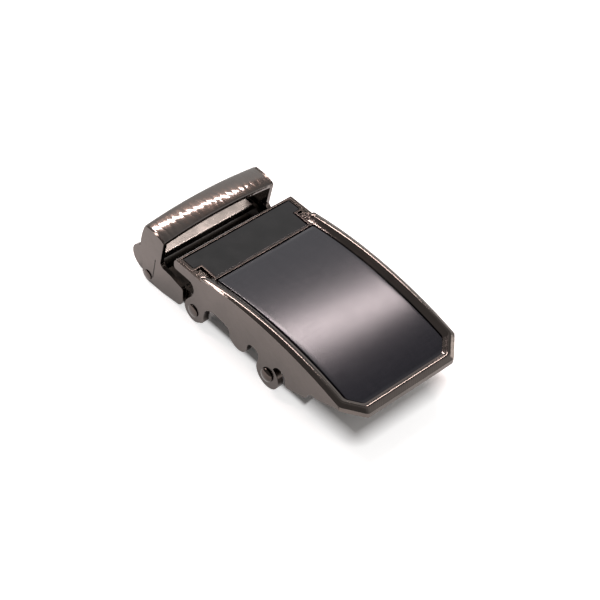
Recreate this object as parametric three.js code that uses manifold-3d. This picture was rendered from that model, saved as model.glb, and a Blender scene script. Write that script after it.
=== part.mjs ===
// Automatic (ratchet) belt buckle for a 35 mm strap, in millimetres.
// +X runs towards the buckle's tip, +Z is up and the face looks up, as the buckle stands on a table.
// "Near" pieces lie on the -Y side and "far" pieces on the +Y side.
import * as THREE from 'three';
import { mergeVertices } from 'three/addons/utils/BufferGeometryUtils.js';
import Module from 'manifold-3d';

const wasm = await Module();
wasm.setup();

// ---------------------------------------------------------------- driving dimensions
const ORIGIN = { x: -6.95, y: 1.815 }; // middle of the whole buckle's box, in the drawing's own coordinates
const GAP = 0.3; // clearance between separate pieces
const SMALL_GAP = 0.1; // clearance behind glued sheets and under rivet heads

// Face: a shallow arch whose axis runs along Y.
const ARCH_R = 114.7; // to the datum surface just under the polished ridge
const ARCH_Z = -94.46; // height of the arch's axis
const HALF_WIDTH = 20.07; // over the side walls
const WALL = 1.77; // side wall thickness
const TIP_X = 38.6;
const TIP_CORNER = 53.4; // x + y on the cut corners at the tip
const TAIL_X = -31.9;
const RIM_DROP = 0.4; // outer rim below the datum surface
const RIDGE_RISE = 0.25; // polished ridge above the datum surface
const RIDGE_INSETS = [0.7, 2.1]; // where the ridge starts and ends, in from the outline
const LIP_DROP = 0.7; // lip round the panel, below the datum surface
const LIP_INSET = 2.4;
const SKIN = 1.7; // depth of the arched top's outer edge, below the datum surface
const SLAB = 3.5; // depth of the arched top inside that edge
const SLAB_INSET = 1.5; // how far in from the outline the full depth starts

// Flat tail zone behind the ridges.
const TAIL_TOP = 17.6;
const TAIL_BOTTOM = 14.3;
const TAIL_ZONE_END = -20.4;

// Inlaid panels.
const PANEL_DROP = 0.8; // panel surface below the datum surface
const PANEL_THICK = 1.0;
const TAPE_THICK = 0.2;
const POCKET_DEPTH = PANEL_THICK + TAPE_THICK + 3 * SMALL_GAP;
const MAIN_PANEL = { start: -17.86, end: 35.8, half: 16.45, corner: 48.9 };
const TAIL_PANEL = { start: -30.2, shoulder: -25.4, end: -19.5, wide: 18.9, narrow: 16.0 };

// Cross pins. Positions are (x, z); radii are the shank, its bore and the riveted head.
const HINGE = { x: -23.8, z: 4.3, shank: 1.0, bore: 1.25, head: 1.9, proud: 0.55, reach: HALF_WIDTH };
const PAWL_AXIS = { x: 6.5, z: 4.6, shank: 1.1, bore: 1.35, head: 2.1, proud: 1.1, reach: HALF_WIDTH };

// Clamp and keeper loop.
const CLAMP_SIDE_SHIFT = -0.5; // the clamp's side play on its hinge, taken up to the near side
const LOOP_OUTER = 19.2; // half width over the cheeks
const LOOP_INNER = 17.9;
const CHANNEL_OUTER = 17.6; // half width over the inner channel
const CHANNEL_INNER = 16.6;
const CLIP_AXIS = { x: -43.9, z: 2.3, shank: 0.8, bore: 1.05, head: 1.5, proud: 0.35, reach: LOOP_OUTER };
const LOOP_CROWN = 1.4; // rise of the top bar's middle over its ends
const BRIDGE = { start: -46.5, end: -42.3, bottom: 7.5, top: 8.7 };
const CLIP_HALF = 16.3;

// Pawl and its springs.
const PAWL_TIP = { x: -3.6, z: 14.1 };
const PAWL_HUB = { radius: 2.6, half: 13.3 };
const PAWL_HALF = 16.6;
const PAWL_SHEET = 1.6;
const LEVER_RIVETS = { ys: [8.0, 12.0], z: 5.0, shank: 0.45, bore: 0.7, head: 0.95 };
const COIL = { radius: 1.95, wire: 0.35, turns: 4, start: 13.8, pitch: 0.85, restLeg: 3.49, sides: 8, steps: 14 };
const BOSS = { x: 3.18, z: 4.35, radius: 0.6 }; // on the ear, under the spring's resting leg

// ---------------------------------------------------------------- finishes
const finish = (color, roughness, metalness) => new THREE.MeshStandardMaterial({ color, roughness, metalness });
const gunmetal = () => finish(0x6b625c, 0.28, 1.0);
const steel = () => finish(0x8a8682, 0.35, 1.0);
const springSteel = () => finish(0x9c9a96, 0.3, 1.0);
const brushedPanel = () => finish(0x2b2c33, 0.32, 0.6);
const enamelPanel = () => finish(0x232326, 0.25, 0.2);
const tape = () => finish(0xd8d4c8, 0.9, 0.0);

// ---------------------------------------------------------------- solid modelling helpers
function solidOf(geometry) {
  const bare = geometry.index ? geometry.toNonIndexed() : geometry.clone();
  bare.deleteAttribute('normal');
  bare.deleteAttribute('uv');
  const merged = mergeVertices(bare, 1e-4);
  const vertProperties = Float32Array.from(merged.attributes.position.array);
  const triVerts = Uint32Array.from(merged.index.array);
  return new wasm.Manifold(new wasm.Mesh({ numProp: 3, vertProperties, triVerts }));
}

function join(...solids) {
  return solids.reduce((sum, next) => sum.add(next));
}

function cut(solid, ...tools) {
  return tools.reduce((rest, tool) => rest.subtract(tool), solid);
}

function piece(name, solid, material) {
  const { vertProperties, triVerts } = solid.getMesh();
  const geometry = new THREE.BufferGeometry();
  geometry.setAttribute('position', new THREE.BufferAttribute(Float32Array.from(vertProperties), 3));
  geometry.setIndex(new THREE.BufferAttribute(Uint32Array.from(triVerts), 1));
  geometry.computeVertexNormals();
  const mesh = new THREE.Mesh(geometry, material);
  mesh.name = name;
  return mesh;
}

// An outline in the XZ plane, extruded along Y from y0 to y1.
function sideExtrude(shape, y0, y1, curveSegments = 8, steps = 1) {
  const options = { depth: y1 - y0, bevelEnabled: false, curveSegments, steps };
  const geometry = new THREE.ExtrudeGeometry(shape, options);
  geometry.rotateX(Math.PI / 2);
  geometry.translate(0, y1, 0);
  return geometry;
}

// The same outline on both sides of the buckle, between two distances from its middle.
function sidePair(shape, inner, outer, curveSegments = 8) {
  const far = solidOf(sideExtrude(shape, inner, outer, curveSegments));
  const near = solidOf(sideExtrude(shape, -outer, -inner, curveSegments));
  return join(far, near);
}

// An outline in the XY plane, extruded upwards from z0 to z1.
function planExtrude(shape, z0, z1) {
  const geometry = new THREE.ExtrudeGeometry(shape, { depth: z1 - z0, bevelEnabled: false, curveSegments: 4 });
  geometry.translate(0, 0, z0);
  return solidOf(geometry);
}

function box(x0, x1, y0, y1, z0, z1) {
  const geometry = new THREE.BoxGeometry(x1 - x0, y1 - y0, z1 - z0);
  geometry.translate((x0 + x1) / 2, (y0 + y1) / 2, (z0 + z1) / 2);
  return solidOf(geometry);
}

function boxPair(x0, x1, inner, outer, z0, z1) {
  return join(box(x0, x1, inner, outer, z0, z1), box(x0, x1, -outer, -inner, z0, z1));
}

// A round bar along Y.
function rod(centre, radius, y0, y1, segments = 24) {
  const geometry = new THREE.CylinderGeometry(radius, radius, y1 - y0, segments);
  geometry.translate(centre.x, (y0 + y1) / 2, centre.z);
  return solidOf(geometry);
}

// A round bar along X.
function rodAlongX(y, z, radius, x0, x1, segments = 16) {
  const geometry = new THREE.CylinderGeometry(radius, radius, x1 - x0, segments);
  geometry.rotateZ(Math.PI / 2);
  geometry.translate((x0 + x1) / 2, y, z);
  return solidOf(geometry);
}

function polygon(points) {
  return new THREE.Shape(points.map(([x, y]) => new THREE.Vector2(x, y)));
}

const archZ = (x, drop) => ARCH_Z + Math.sqrt((ARCH_R - drop) ** 2 - x * x);
const archAngle = (x, drop) => Math.acos(x / (ARCH_R - drop));

// ---------------------------------------------------------------- face
// Outline of the face seen from above, moved inwards by inset.
function faceOutline(inset) {
  const side = HALF_WIDTH - inset;
  const tip = TIP_X - inset;
  const corner = TIP_CORNER - inset * Math.SQRT2;
  const tail = TAIL_X + inset;
  const round = 1.2;
  return polygon([
    [tail, -side + round],
    [tail + round, -side],
    [corner - side, -side],
    [tip, tip - corner],
    [tip, corner - tip],
    [corner - side, side],
    [tail + round, side],
    [tail, side - round],
  ]);
}

// Side view of a layer of the arch, from one depth under the datum surface to another.
function archLayer(x0, x1, topDrop, bottomDrop) {
  const shape = new THREE.Shape();
  shape.moveTo(x0, archZ(x0, topDrop));
  shape.absarc(0, ARCH_Z, ARCH_R - topDrop, archAngle(x0, topDrop), archAngle(x1, topDrop), true);
  shape.absarc(0, ARCH_Z, ARCH_R - bottomDrop, archAngle(x1, bottomDrop), archAngle(x0, bottomDrop), false);
  return shape;
}

// Side view of the arched top, with its flat tail and rounded nose.
function topProfile() {
  const tipBottom = TIP_X - 0.1;
  const shape = new THREE.Shape();
  shape.moveTo(-30.9, TAIL_TOP);
  shape.lineTo(TAIL_ZONE_END, TAIL_TOP);
  shape.lineTo(TAIL_ZONE_END, archZ(TAIL_ZONE_END, RIM_DROP));
  const rimRadius = ARCH_R - RIM_DROP;
  shape.absarc(0, ARCH_Z, rimRadius, archAngle(TAIL_ZONE_END, RIM_DROP), archAngle(TIP_X, RIM_DROP), true);
  shape.absarc(0, ARCH_Z, ARCH_R - SKIN, archAngle(tipBottom, SKIN), archAngle(-19.0, SKIN), false);
  shape.lineTo(-19.4, archZ(-19.4, SLAB));
  shape.lineTo(-22.0, TAIL_BOTTOM);
  shape.lineTo(-30.9, TAIL_BOTTOM);
  shape.quadraticCurveTo(TAIL_X, TAIL_BOTTOM, TAIL_X, 15.4);
  shape.quadraticCurveTo(TAIL_X, 17.0, -30.9, TAIL_TOP);
  return shape;
}

// Side view of a wall: its lower edge has two ears for the cross pins, a rounded lobe between
// them, and notches on both sides of each.
function wallProfile() {
  const shape = new THREE.Shape();
  const top = 1.0;
  shape.moveTo(-30.6, TAIL_BOTTOM);
  shape.lineTo(-30.6, TAIL_TOP - top);
  shape.lineTo(TAIL_ZONE_END, TAIL_TOP - top);
  shape.absarc(0, ARCH_Z, ARCH_R - top, archAngle(TAIL_ZONE_END, top), archAngle(34.0, top), true);
  shape.lineTo(33.6, 13.9);
  shape.quadraticCurveTo(31.0, 13.3, 26.6, 11.5);
  shape.quadraticCurveTo(25.2, 10.9, 24.0, 10.9);
  shape.quadraticCurveTo(22.3, 10.9, 21.4, 8.2);
  shape.lineTo(17.3, 6.8);
  shape.lineTo(13.4, 5.7);
  shape.lineTo(13.4, 7.4);
  shape.quadraticCurveTo(13.1, 10.1, 10.9, 10.1);
  shape.quadraticCurveTo(9.3, 10.1, 8.55, 8.12);
  shape.absarc(6.4, 4.4, 4.3, Math.PI / 3, (5 * Math.PI) / 6, true);
  shape.lineTo(2.7, 8.6);
  shape.quadraticCurveTo(2.3, 10.0, 1.0, 10.0);
  shape.lineTo(-0.1, 10.0);
  shape.quadraticCurveTo(-1.5, 9.8, -1.7, 8.0);
  shape.absarc(-5.3, 8.0, 3.6, 0, Math.PI, true);
  shape.quadraticCurveTo(-9.2, 9.3, -11.6, 9.5);
  shape.lineTo(-15.2, 9.8);
  shape.quadraticCurveTo(-19.3, 9.4, -19.5, 5.0);
  shape.lineTo(-19.5, 3.6);
  shape.quadraticCurveTo(-19.6, 2.5, -21.3, 1.6);
  shape.absarc(-23.9, 4.2, 3.6, -Math.PI / 4, Math.PI, true);
  shape.lineTo(-26.9, 6.0);
  shape.lineTo(-24.2, 9.4);
  shape.quadraticCurveTo(-23.0, 11.2, -23.8, 13.1);
  shape.quadraticCurveTo(-24.4, TAIL_BOTTOM, -25.6, TAIL_BOTTOM);
  return shape;
}

function mainPanelOutline(grow) {
  const { start, end, half, corner } = MAIN_PANEL;
  const cornerLine = corner + grow * Math.SQRT2;
  const side = half + grow;
  const tip = end + grow;
  return polygon([
    [start - grow, -side],
    [cornerLine - side, -side],
    [tip, tip - cornerLine],
    [tip, cornerLine - tip],
    [cornerLine - side, side],
    [start - grow, side],
  ]);
}

function tailPanelOutline(grow) {
  const { start, shoulder, end, wide, narrow } = TAIL_PANEL;
  return polygon([
    [start - grow, -wide - grow],
    [shoulder + grow, -wide - grow],
    [shoulder + grow, -narrow - grow],
    [end + grow, -narrow - grow],
    [end + grow, narrow + grow],
    [shoulder + grow, narrow + grow],
    [shoulder + grow, wide + grow],
    [start - grow, wide + grow],
  ]);
}

const archSegments = 14;

function archSolid(x0, x1, topDrop, bottomDrop) {
  return solidOf(sideExtrude(archLayer(x0, x1, topDrop, bottomDrop), -24, 24, archSegments));
}

function buildFaceFrame() {
  const outline = planExtrude(faceOutline(0), -5, 30);
  const top = solidOf(sideExtrude(topProfile(), -HALF_WIDTH, HALF_WIDTH, archSegments));
  const walls = sidePair(wallProfile(), HALF_WIDTH - WALL, HALF_WIDTH, 10);
  const [ridgeOuter, ridgeInner] = RIDGE_INSETS.map((inset) => faceOutline(inset));
  const ridgePlan = cut(planExtrude(ridgeOuter, 0, 30), planExtrude(ridgeInner, -1, 31));
  const ridge = archSolid(TAIL_ZONE_END + 0.4, TIP_X, -RIDGE_RISE, 1.2).intersect(ridgePlan);
  const lip = archSolid(-18.2, TIP_X, -2, LIP_DROP).intersect(planExtrude(faceOutline(LIP_INSET), 0, 30));
  const pocketX = MAIN_PANEL.start - GAP;
  const pocketLayer = archSolid(pocketX, TIP_X, -2, PANEL_DROP + POCKET_DEPTH);
  const mainPocket = pocketLayer.intersect(planExtrude(mainPanelOutline(GAP), 0, 30));
  const tailPocket = planExtrude(tailPanelOutline(GAP), TAIL_TOP - POCKET_DEPTH, TAIL_TOP + 3);
  const slabPlan = planExtrude(faceOutline(SLAB_INSET), 0, 30);
  const slab = archSolid(-19.4, TIP_X, SKIN - 0.2, SLAB).intersect(slabPlan);
  const bodyBlock = cut(join(top, walls, slab).intersect(outline), lip);
  const drills = [HINGE, PAWL_AXIS].map((pin) => rod(pin, pin.bore, -HALF_WIDTH - 1, HALF_WIDTH + 1));
  const bosses = [-1, 1].map((side) => {
    const inner = side * (HALF_WIDTH - WALL + 0.2);
    const outer = side * (HALF_WIDTH - WALL - 1.5);
    return rod(BOSS, BOSS.radius, Math.min(inner, outer), Math.max(inner, outer), 12);
  });
  return cut(join(bodyBlock, ridge, ...bosses), mainPocket, tailPocket, ...drills);
}

function buildMainPanel() {
  const layer = archSolid(MAIN_PANEL.start, TIP_X, PANEL_DROP, PANEL_DROP + PANEL_THICK);
  return layer.intersect(planExtrude(mainPanelOutline(0), 0, 30));
}

function buildMainPanelTape() {
  const top = PANEL_DROP + PANEL_THICK + SMALL_GAP;
  const layer = archSolid(MAIN_PANEL.start + 1, TIP_X, top, top + TAPE_THICK);
  return layer.intersect(planExtrude(mainPanelOutline(-1), 0, 30));
}

function buildTailPanel() {
  return planExtrude(tailPanelOutline(0), TAIL_TOP - PANEL_THICK, TAIL_TOP);
}

function buildTailPanelTape() {
  const top = TAIL_TOP - PANEL_THICK - SMALL_GAP;
  return planExtrude(tailPanelOutline(-1), top - TAPE_THICK, top);
}

// A cross pin with a riveted head at each end.
function buildPin(pin) {
  const outer = pin.reach + SMALL_GAP + pin.proud;
  const domed = (side) => {
    const profile = [
      [0, 0],
      [pin.head, 0],
      [pin.head, pin.proud * 0.45],
      [pin.head * 0.82, pin.proud * 0.85],
      [pin.head * 0.5, pin.proud],
      [0, pin.proud],
    ];
    const geometry = new THREE.LatheGeometry(profile.map(([r, y]) => new THREE.Vector2(r, y)), 28);
    if (side < 0) geometry.rotateX(Math.PI);
    geometry.translate(pin.x, side * (outer - pin.proud), pin.z);
    return solidOf(geometry);
  };
  return join(rod(pin, pin.shank, -outer + pin.proud / 2, outer - pin.proud / 2), domed(1), domed(-1));
}

// ---------------------------------------------------------------- keeper loop
// Side view of a cheek with its forward arm, seen from the near side.
function cheekProfile() {
  const shape = new THREE.Shape();
  shape.moveTo(-46.4, 2.3);
  shape.lineTo(-46.0, 5.6);
  shape.quadraticCurveTo(-45.6, 8.4, -47.0, 11.0);
  shape.quadraticCurveTo(-46.6, 14.4, -45.6, 17.2);
  shape.lineTo(-44.9, 19.1);
  shape.quadraticCurveTo(-44.6, 20.0, -43.6, 20.1);
  shape.quadraticCurveTo(-40.6, 20.25, -38.9, 19.75);
  shape.lineTo(-37.2, 19.25);
  shape.lineTo(-36.6, 18.8);
  shape.lineTo(-38.3, 10.6);
  shape.quadraticCurveTo(-38.4, 9.7, -37.4, 9.6);
  shape.lineTo(-34.0, 9.4);
  shape.lineTo(-28.9, 8.3);
  shape.lineTo(-28.7, 3.6);
  shape.quadraticCurveTo(-29.2, 1.5, -31.4, 0.9);
  shape.lineTo(-37.5, 0.2);
  shape.lineTo(-43.9, -0.0);
  shape.absarc(CLIP_AXIS.x, CLIP_AXIS.z, CLIP_AXIS.z, -Math.PI / 2, -Math.PI, true);
  return shape;
}

// Side view of the top bar: a thick strip with a rounded back, a flat top and a sloping front.
function topBarProfile() {
  const shape = new THREE.Shape();
  shape.moveTo(-44.9, 18.7);
  shape.lineTo(-45.1, 19.1);
  shape.quadraticCurveTo(-44.9, 20.0, -43.0, 20.07);
  shape.quadraticCurveTo(-40.9, 20.15, -39.6, 19.88);
  shape.quadraticCurveTo(-38.2, 19.55, -36.9, 19.1);
  shape.lineTo(-36.65, 18.8);
  shape.lineTo(-36.65, 18.2);
  shape.lineTo(-40.0, 18.5);
  shape.lineTo(-44.4, 18.5);
  return shape;
}

// Lifts a bar that runs along Y into a shallow crown, highest in its middle.
function crown(geometry, rise, half) {
  const position = geometry.attributes.position;
  for (let i = 0; i < position.count; i += 1) {
    const across = position.getY(i) / half;
    position.setZ(i, position.getZ(i) + rise * (1 - across * across));
  }
  return geometry;
}

function buildKeeperLoop() {
  const straightBar = sideExtrude(topBarProfile(), -LOOP_OUTER, LOOP_OUTER, 6, 14);
  const bar = solidOf(crown(straightBar, LOOP_CROWN, LOOP_OUTER));
  const cheeks = sidePair(cheekProfile(), LOOP_INNER, LOOP_OUTER, 8);
  const slitShape = polygon([
    [-40.2, 10.4],
    [-41.7, 2.8],
    [-42.1, 2.9],
    [-40.6, 10.5],
  ]);
  const slits = sidePair(slitShape, LOOP_OUTER - 0.5, LOOP_OUTER + 1);
  const bore = rod(CLIP_AXIS, CLIP_AXIS.bore, -LOOP_OUTER - 1, LOOP_OUTER + 1);
  return cut(join(bar, cheeks), slits, bore);
}

// ---------------------------------------------------------------- clamp channel
// Side view of the inner channel: a rounded lobe behind the clip's pin and a hinge lug in front.
function channelProfile() {
  const shape = new THREE.Shape();
  shape.moveTo(-48.1, 8.8);
  shape.lineTo(-46.5, BRIDGE.top);
  shape.lineTo(BRIDGE.end + 0.7, BRIDGE.top);
  shape.lineTo(-39.2, 7.2);
  shape.lineTo(-30.4, 7.0);
  shape.lineTo(HINGE.x, HINGE.z + 3.2);
  shape.absarc(HINGE.x, HINGE.z, 3.2, Math.PI / 2, -Math.PI / 2, true);
  shape.lineTo(-30.5, 1.0);
  shape.lineTo(-36.0, 0.6);
  shape.lineTo(-44.5, 0.4);
  shape.lineTo(-48.1, 0.2);
  shape.absarc(-48.2, 4.5, 4.3, -Math.PI / 2, Math.PI / 2, true);
  return shape;
}

function buildClampChannel() {
  const walls = sidePair(channelProfile(), CHANNEL_INNER, CHANNEL_OUTER, 10);
  const half = CHANNEL_OUTER - 0.2;
  const bridge = box(BRIDGE.start, BRIDGE.end, -half, half, BRIDGE.bottom, BRIDGE.top);
  const bridgeLip = box(BRIDGE.end - 0.6, BRIDGE.end, -half, half, BRIDGE.bottom - 0.7, BRIDGE.bottom + 0.1);
  const flanges = boxPair(-38.4, -30.6, 14.8, half, 6.2, 7.0);
  const tie = box(-32.6, -30.2, -half, half, 1.1, 2.3);
  const bores = [HINGE, CLIP_AXIS].map((pin) => rod(pin, pin.bore, -CHANNEL_OUTER - 1, CHANNEL_OUTER + 1));
  return cut(join(walls, bridge, bridgeLip, flanges, tie), ...bores);
}

// ---------------------------------------------------------------- strap clip
// A toothed plate under the strap's fixed end, hinged at its back edge.
function buildStrapClip() {
  const hub = rod(CLIP_AXIS, 1.75, -CLIP_HALF, CLIP_HALF);
  const plate = box(CLIP_AXIS.x, -33.0, -CLIP_HALF, CLIP_HALF, 0.55, 1.75);
  const lip = box(-34.0, -33.0, -6, 6, 0.55, 2.6);
  const biteCount = 11;
  const bitePitch = (2 * CLIP_HALF - 2) / (biteCount - 1);
  const biteShape = polygon([
    [CLIP_AXIS.x + 0.3, 2.6],
    [CLIP_AXIS.x + 2.6, 1.6],
    [CLIP_AXIS.x + 1.9, 4.9],
  ]);
  const gripShape = polygon([
    [-39.6, 1.5],
    [-37.6, 1.5],
    [-38.2, 3.3],
  ]);
  const teeth = [];
  for (let i = 0; i < biteCount; i += 1) {
    const y = -CLIP_HALF + 1 + i * bitePitch;
    teeth.push(solidOf(sideExtrude(biteShape, y - 0.9, y + 0.9)));
    if (i % 2 === 1) teeth.push(solidOf(sideExtrude(gripShape, y - 0.9, y + 0.9)));
  }
  return cut(join(hub, plate, lip, ...teeth), rod(CLIP_AXIS, CLIP_AXIS.bore, -20, 20));
}

// ---------------------------------------------------------------- pawl, lever and springs
const pawlAngle = Math.atan2(PAWL_TIP.z - PAWL_AXIS.z, PAWL_TIP.x - PAWL_AXIS.x);
const pawlReach = Math.hypot(PAWL_TIP.z - PAWL_AXIS.z, PAWL_TIP.x - PAWL_AXIS.x);

// A point at a distance from the pawl's axis towards its toothed edge, and off to one side.
function pawlPoint(along, across) {
  const c = Math.cos(pawlAngle);
  const s = Math.sin(pawlAngle);
  return [PAWL_AXIS.x + along * c - across * s, PAWL_AXIS.z + along * s + across * c];
}

function buildPawl() {
  const halfSheet = PAWL_SHEET / 2;
  const armShape = polygon([
    pawlPoint(0, halfSheet),
    pawlPoint(0, -halfSheet),
    pawlPoint(pawlReach, 0),
    pawlPoint(pawlReach - 1.6, halfSheet),
  ]);
  const wideShape = polygon([
    pawlPoint(3.4, halfSheet),
    pawlPoint(3.4, -halfSheet),
    pawlPoint(pawlReach - 1.6, -halfSheet),
    pawlPoint(pawlReach, 0),
    pawlPoint(pawlReach - 1.6, halfSheet),
  ]);
  const rootShape = polygon([
    pawlPoint(0, halfSheet),
    pawlPoint(0, -halfSheet),
    pawlPoint(5, -halfSheet),
    pawlPoint(5, halfSheet),
  ]);
  const tailShape = polygon([
    [PAWL_AXIS.x, PAWL_AXIS.z - 0.7],
    [10.6, PAWL_AXIS.z - 0.7],
    [10.6, PAWL_AXIS.z + 1.5],
    [PAWL_AXIS.x, PAWL_AXIS.z + 1.5],
  ]);
  const hub = rod(PAWL_AXIS, PAWL_HUB.radius, -PAWL_HUB.half, PAWL_HUB.half);
  const root = solidOf(sideExtrude(rootShape, -PAWL_HUB.half, PAWL_HUB.half));
  const wide = solidOf(sideExtrude(wideShape, -PAWL_HALF, PAWL_HALF));
  const arm = solidOf(sideExtrude(armShape, -PAWL_HUB.half, PAWL_HUB.half));
  const flange = solidOf(sideExtrude(tailShape, -PAWL_HUB.half, PAWL_HUB.half));
  const notchCount = 6;
  const notchPitch = (2 * PAWL_HALF) / notchCount;
  const notches = [];
  for (let i = 1; i < notchCount; i += 1) {
    const y = -PAWL_HALF + i * notchPitch;
    const [x, z] = pawlPoint(pawlReach, 0);
    notches.push(box(x - 1.2, x + 1.2, y - 0.8, y + 0.8, z - 1.2, z + 1));
  }
  const solid = join(hub, root, wide, arm, flange);
  return cut(solid, ...notches, ...rivetBore(), rod(PAWL_AXIS, PAWL_AXIS.bore, -20, 20));
}

const rivetBore = () => LEVER_RIVETS.ys.map((y) => rodAlongX(y, LEVER_RIVETS.z, LEVER_RIVETS.bore, 8.2, 14));

// The release lever is riveted behind the pawl's flange and comes out through the far wall's notch.
function buildReleaseLever() {
  const bar = box(10.9, 12.5, 6.0, 24.2, 3.9, 6.1);
  const padShape = new THREE.Shape();
  padShape.moveTo(9.6, 3.9);
  padShape.lineTo(13.2, 3.9);
  padShape.quadraticCurveTo(14.2, 5.2, 13.2, 6.6);
  padShape.lineTo(9.6, 6.6);
  padShape.quadraticCurveTo(8.6, 5.2, 9.6, 3.9);
  const pad = solidOf(sideExtrude(padShape, 21.4, 24.9));
  return cut(join(bar, pad), ...rivetBore());
}

function buildLeverRivet(y) {
  const shank = rodAlongX(y, LEVER_RIVETS.z, LEVER_RIVETS.shank, 8.4, 12.9);
  const head = rodAlongX(y, LEVER_RIVETS.z, LEVER_RIVETS.head, 12.6, 13.1);
  return join(shank, head);
}

// A torsion spring round the pawl's pin: one leg lifts the pawl, the other rests on the ear's boss.
function buildSpring(side) {
  const { radius, wire, turns, start, pitch, sides, steps } = COIL;
  const liftLeg = pawlAngle - 0.09;
  const at = (angle, y) => {
    const x = PAWL_AXIS.x + radius * Math.cos(angle);
    return new THREE.Vector3(x, side * y, PAWL_AXIS.z + radius * Math.sin(angle));
  };
  const heading = (angle) => new THREE.Vector3(Math.cos(angle), 0, Math.sin(angle));
  const firstAngle = liftLeg + Math.PI / 2;
  const lastAngle = COIL.restLeg - Math.PI / 2 + 2 * Math.PI * turns;
  const coilSteps = turns * steps;
  const points = [
    at(firstAngle, start).addScaledVector(heading(liftLeg), 6.2),
    at(firstAngle, start).addScaledVector(heading(liftLeg), 3.0),
  ];
  for (let i = 0; i <= coilSteps; i += 1) {
    const t = i / coilSteps;
    points.push(at(firstAngle + (lastAngle - firstAngle) * t, start + pitch * turns * t));
  }
  const end = points[points.length - 1];
  points.push(end.clone().addScaledVector(heading(COIL.restLeg), 2.2));
  points.push(end.clone().addScaledVector(heading(COIL.restLeg), 4.2));
  const path = new THREE.CatmullRomCurve3(points, false, 'centripetal');
  const section = new THREE.Shape();
  section.absarc(0, 0, wire, 0, 2 * Math.PI, false);
  const options = { steps: coilSteps + 14, extrudePath: path, curveSegments: sides, bevelEnabled: false };
  return solidOf(new THREE.ExtrudeGeometry(section, options));
}

// ---------------------------------------------------------------- assembly
const face = new THREE.Group();
face.add(piece('face_frame', buildFaceFrame(), gunmetal()));
face.add(piece('main_panel', buildMainPanel(), brushedPanel()));
face.add(piece('main_panel_tape', buildMainPanelTape(), tape()));
face.add(piece('tail_panel', buildTailPanel(), enamelPanel()));
face.add(piece('tail_panel_tape', buildTailPanelTape(), tape()));
face.add(piece('hinge_pin', buildPin(HINGE), steel()));
face.add(piece('pawl_pin', buildPin(PAWL_AXIS), steel()));
face.add(piece('pawl_spring_near', buildSpring(-1), springSteel()));
face.add(piece('pawl_spring_far', buildSpring(1), springSteel()));

const pawlGroup = new THREE.Group();
pawlGroup.add(piece('pawl', buildPawl(), steel()));
pawlGroup.add(piece('release_lever', buildReleaseLever(), gunmetal()));
pawlGroup.add(piece('lever_rivet_inner', buildLeverRivet(LEVER_RIVETS.ys[0]), steel()));
pawlGroup.add(piece('lever_rivet_outer', buildLeverRivet(LEVER_RIVETS.ys[1]), steel()));

const clamp = new THREE.Group();
clamp.add(piece('keeper_loop', buildKeeperLoop(), gunmetal()));
clamp.add(piece('clamp_channel', buildClampChannel(), gunmetal()));
clamp.add(piece('clip_pin', buildPin(CLIP_AXIS), steel()));

const clip = new THREE.Group();
clip.add(piece('strap_clip', buildStrapClip(), steel()));

clamp.position.y = CLAMP_SIDE_SHIFT;
clip.position.y = CLAMP_SIDE_SHIFT;

const buckle = new THREE.Group();
buckle.add(face, pawlGroup, clamp, clip);
buckle.position.set(-ORIGIN.x, -ORIGIN.y, 0);
buckle.updateMatrixWorld(true);

export default buckle;
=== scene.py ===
"""Looks for the automatic belt buckle: detailed pieces, materials, floor, studio light and camera.

Lengths are written in millimetres in the drawing's own coordinates: +X towards the tip, +Z up, the
arch's crest over X = 0 and Y = 0 in the middle. place() turns them into the frame's metres.
"""
import math

import bmesh
import bpy
import numpy as np
from mathutils import Matrix, Vector


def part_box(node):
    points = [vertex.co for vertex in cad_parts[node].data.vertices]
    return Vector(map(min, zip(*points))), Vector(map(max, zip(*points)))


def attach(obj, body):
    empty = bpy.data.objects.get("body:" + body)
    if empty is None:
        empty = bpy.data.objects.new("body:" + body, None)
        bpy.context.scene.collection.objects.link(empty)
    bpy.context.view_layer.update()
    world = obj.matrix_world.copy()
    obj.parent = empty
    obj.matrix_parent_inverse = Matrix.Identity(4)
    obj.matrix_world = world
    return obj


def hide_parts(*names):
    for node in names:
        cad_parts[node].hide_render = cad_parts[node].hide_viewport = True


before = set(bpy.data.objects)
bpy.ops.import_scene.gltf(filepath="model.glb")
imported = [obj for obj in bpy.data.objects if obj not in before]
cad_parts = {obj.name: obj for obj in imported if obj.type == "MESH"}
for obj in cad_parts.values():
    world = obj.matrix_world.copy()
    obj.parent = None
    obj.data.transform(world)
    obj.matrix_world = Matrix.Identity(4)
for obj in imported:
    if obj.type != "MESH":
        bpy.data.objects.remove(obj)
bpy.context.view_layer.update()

MM = 0.001

# ---------------------------------------------------------------- dimensions shared with the CAD
ARCH_R = 114.7
ARCH_Z = -94.46
HALF = 20.07
TIP_X = 38.6
TIP_CORNER = 53.4
TAIL_X = -31.9
TAIL_TOP = 17.6
TAIL_BOTTOM = 14.3
TAIL_ZONE_END = -20.4
WALL_INNER = 18.3
MAIN_PANEL = {"start": -17.86, "end": 35.8, "half": 16.45, "corner": 48.9}
TAIL_PANEL = {"start": -30.2, "shoulder": -25.4, "end": -19.25, "wide": 18.9, "narrow": 16.0}
HINGE = {"x": -23.8, "z": 4.3}
PAWL_AXIS = {"x": 6.5, "z": 4.6}
CLIP_AXIS = {"x": -43.9, "z": 2.3}
CLAMP_SIDE_SHIFT = -0.5  # the clamp's side play on its hinge, taken up to the near side

frame_low, frame_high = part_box("face_frame")
SHIFT = Vector((frame_high.x - TIP_X * MM, (frame_low.y + frame_high.y) / 2, 0.0))


def place(x, y, z):
    """A point of the drawing, in the frame's metres."""
    return Vector((x * MM, y * MM, z * MM)) + SHIFT


def arch_z(x, rise=0.0):
    """Height of the arch at x, rise millimetres outside its datum surface."""
    return ARCH_Z + math.sqrt((ARCH_R + rise) ** 2 - x * x)


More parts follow.
